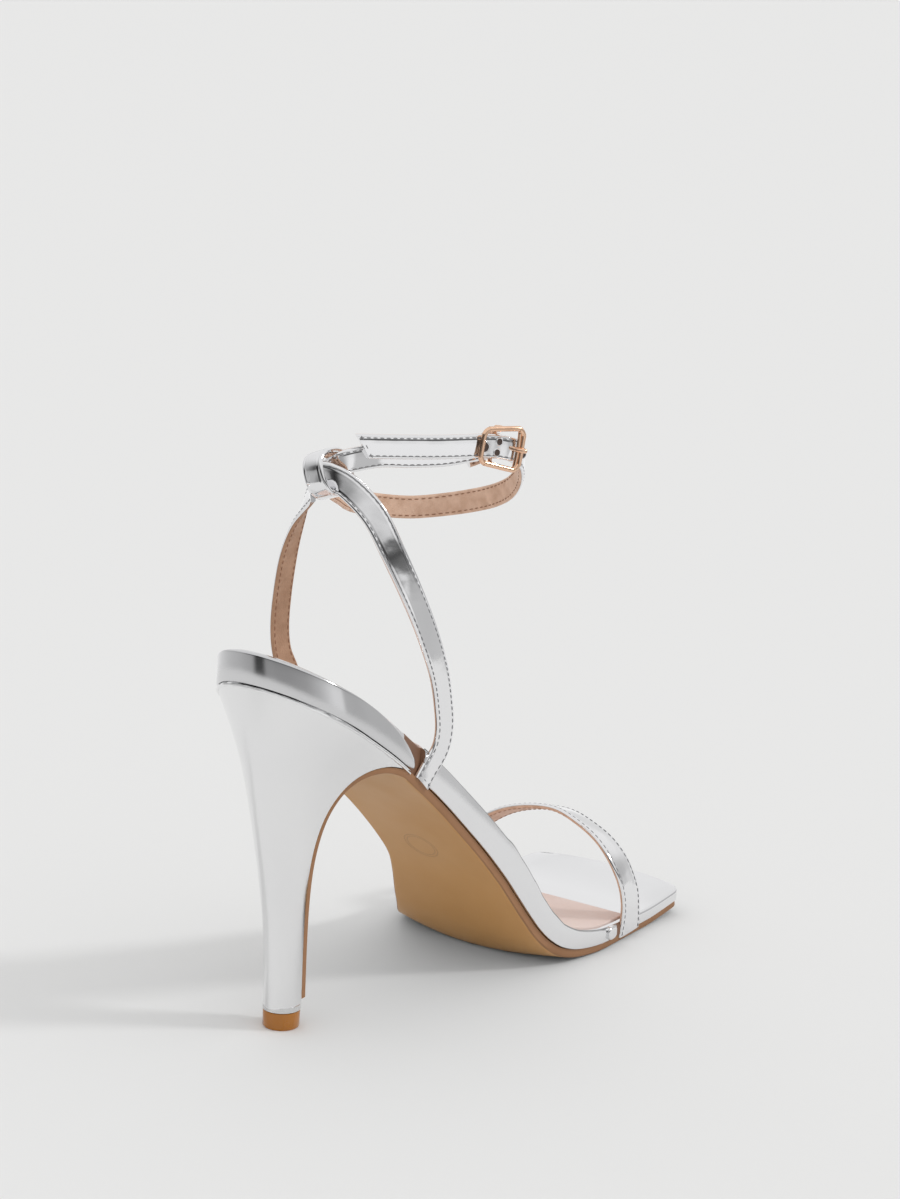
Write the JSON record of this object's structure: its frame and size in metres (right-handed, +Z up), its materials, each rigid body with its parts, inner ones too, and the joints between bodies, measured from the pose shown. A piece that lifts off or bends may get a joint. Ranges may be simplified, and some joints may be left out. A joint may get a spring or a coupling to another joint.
{
  "type": "strappy heeled sandal",
  "caption": "High-heeled sandal with a square toe, a band over the toes and a buckled ankle strap that runs through a loop held by straps behind the ankle.",
  "frame": {"origin": "centre of the top piece's floor face, under the heel, on the floor", "axes": "+X forward to the toe, +Y to the inner (medial) side of this right shoe, +Z up"},
  "size_m": [0.2073, 0.0773, 0.185],
  "materials": {
    "mirror_silver": "coated synthetic leather with a mirror silver foil, high gloss",
    "tan_sole": "satin camel tan moulded sole",
    "amber_tip": "semi-gloss caramel polyurethane",
    "beige_sock": "soft matt pale pink-beige lining",
    "rose_gold": "polished pale rose-gold plating"
  },
  "bodies": {
    "root": {"outsole": "tan_sole", "heel": "mirror_silver", "top_piece": "amber_tip", "insole": "mirror_silver", "sock": "beige_sock", "heel_rand": "mirror_silver", "toe_strap": "mirror_silver", "back_strap": "mirror_silver", "ankle_strap": "mirror_silver", "buckle_frame": "rose_gold", "buckle_prong": "rose_gold"}
  },
  "joints": []
}
